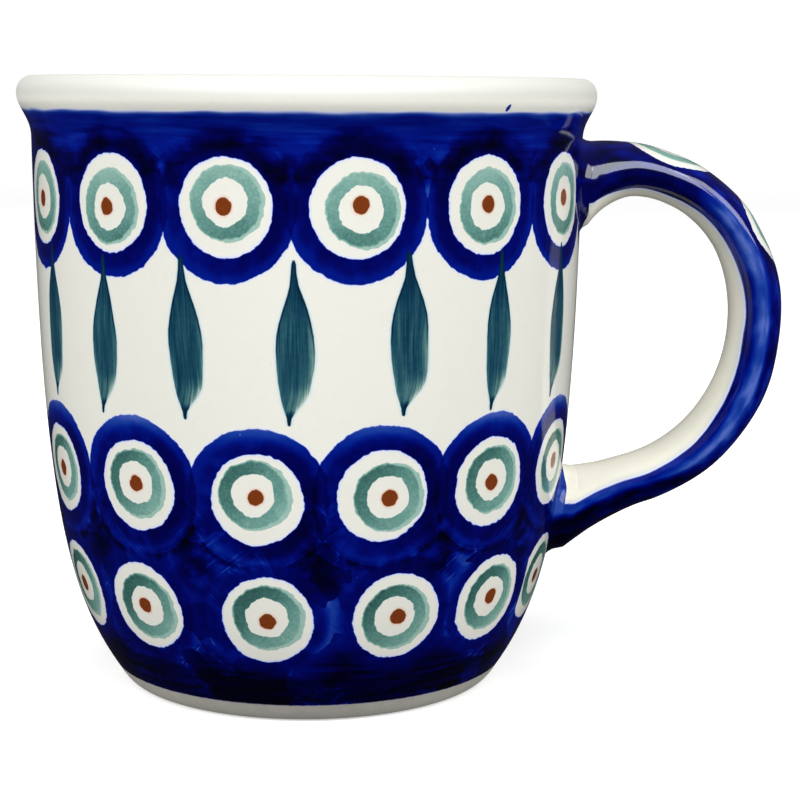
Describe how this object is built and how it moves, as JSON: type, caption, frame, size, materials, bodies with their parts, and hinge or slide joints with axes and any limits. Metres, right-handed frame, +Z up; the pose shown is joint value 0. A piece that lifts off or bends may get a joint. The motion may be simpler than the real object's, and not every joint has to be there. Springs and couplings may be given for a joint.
{
  "type": "stoneware mug",
  "caption": "Stoneware mug with an everted rolled rim, rounded base and C-shaped handle, glazed white with a hand-stamped cobalt eye and leaf pattern.",
  "frame": {"origin": "on the cup's axis, in the plane of the foot ring that it stands on", "axes": "+Z up along the cup's axis, +X towards the handle, so Y runs across the handle"},
  "size_m": [0.1199, 0.089, 0.094],
  "materials": {
    "glazed_stoneware": "clear glossy glaze over ivory stoneware with cobalt, green and brown underglaze painting; bare clay on the foot ring",
    "cobalt_stoneware": "clear glossy glaze over cobalt underglaze paint, with ivory left bare along the inner side",
    "cobalt_slip": "fired clay slip under cobalt paint and clear glaze, slightly rough at its edge"
  },
  "bodies": {
    "root": {"cup_body": "glazed_stoneware", "handle": "cobalt_stoneware", "upper_slip_joint": "cobalt_slip", "lower_slip_joint": "cobalt_slip"}
  },
  "joints": []
}
